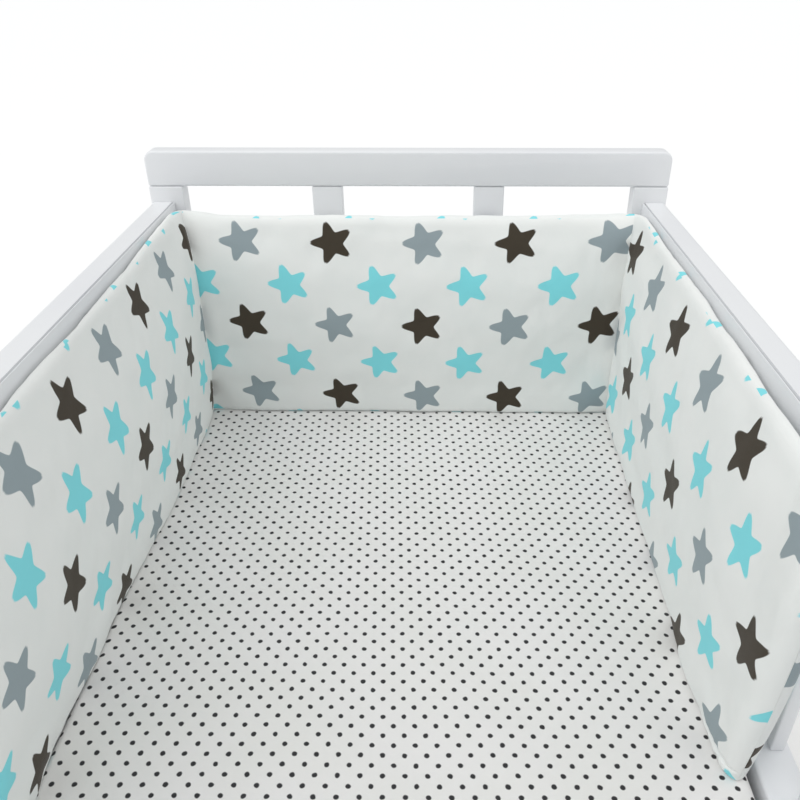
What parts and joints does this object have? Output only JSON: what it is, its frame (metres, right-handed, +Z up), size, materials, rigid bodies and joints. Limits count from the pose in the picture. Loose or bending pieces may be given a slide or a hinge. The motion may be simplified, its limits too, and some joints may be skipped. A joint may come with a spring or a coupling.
{
  "type": "crib bumper on a crib",
  "caption": "Padded U-shaped bumper in star-printed cotton, standing on a dotted fitted mattress inside the head half of a plain white slatted crib.",
  "frame": {"origin": "on the floor, under the middle of the crib", "axes": "+Z up; +Y along the crib to its head end, where the bumper is; +X to the right of someone who looks at the head end"},
  "size_m": [0.7, 1.288, 0.8938],
  "materials": {
    "printed_cotton": "matt woven cotton, white, printed with stars",
    "dotted_cotton": "matt woven cotton, white, printed with small dark dots",
    "crib_paint": "white satin paint on wood",
    "base_timber": "sawn and sanded, unpainted"
  },
  "bodies": {
    "root": {"base_ledger_left": "base_timber", "base_ledger_right": "base_timber", "base_slat_1": "base_timber", "base_slat_2": "base_timber", "base_slat_3": "base_timber", "base_slat_4": "base_timber", "base_slat_5": "base_timber", "base_slat_6": "base_timber", "base_slat_7": "base_timber", "base_slat_8": "base_timber", "bumper_pad": "printed_cotton", "foot_board": "crib_paint", "foot_post_left": "crib_paint", "foot_post_right": "crib_paint", "foot_slat_1": "crib_paint", "foot_slat_2": "crib_paint", "foot_top_rail": "crib_paint", "head_board": "crib_paint", "head_post_left": "crib_paint", "head_post_right": "crib_paint", "head_slat_1": "crib_paint", "head_slat_2": "crib_paint", "head_top_rail": "crib_paint", "mattress": "dotted_cotton", "side_board_left": "crib_paint", "side_board_right": "crib_paint", "side_slat_left_01": "crib_paint", "side_slat_left_02": "crib_paint", "side_slat_left_03": "crib_paint", "side_slat_left_04": "crib_paint", "side_slat_left_05": "crib_paint", "side_slat_left_06": "crib_paint", "side_slat_left_07": "crib_paint", "side_slat_left_08": "crib_paint", "side_slat_left_09": "crib_paint", "side_slat_left_10": "crib_paint", "side_slat_left_11": "crib_paint", "side_slat_left_12": "crib_paint", "side_slat_right_01": "crib_paint", "side_slat_right_02": "crib_paint", "side_slat_right_03": "crib_paint", "side_slat_right_04": "crib_paint", "side_slat_right_05": "crib_paint", "side_slat_right_06": "crib_paint", "side_slat_right_07": "crib_paint", "side_slat_right_08": "crib_paint", "side_slat_right_09": "crib_paint", "side_slat_right_10": "crib_paint", "side_slat_right_11": "crib_paint", "side_slat_right_12": "crib_paint", "side_top_rail_left": "crib_paint", "side_top_rail_right": "crib_paint"}
  },
  "joints": []
}
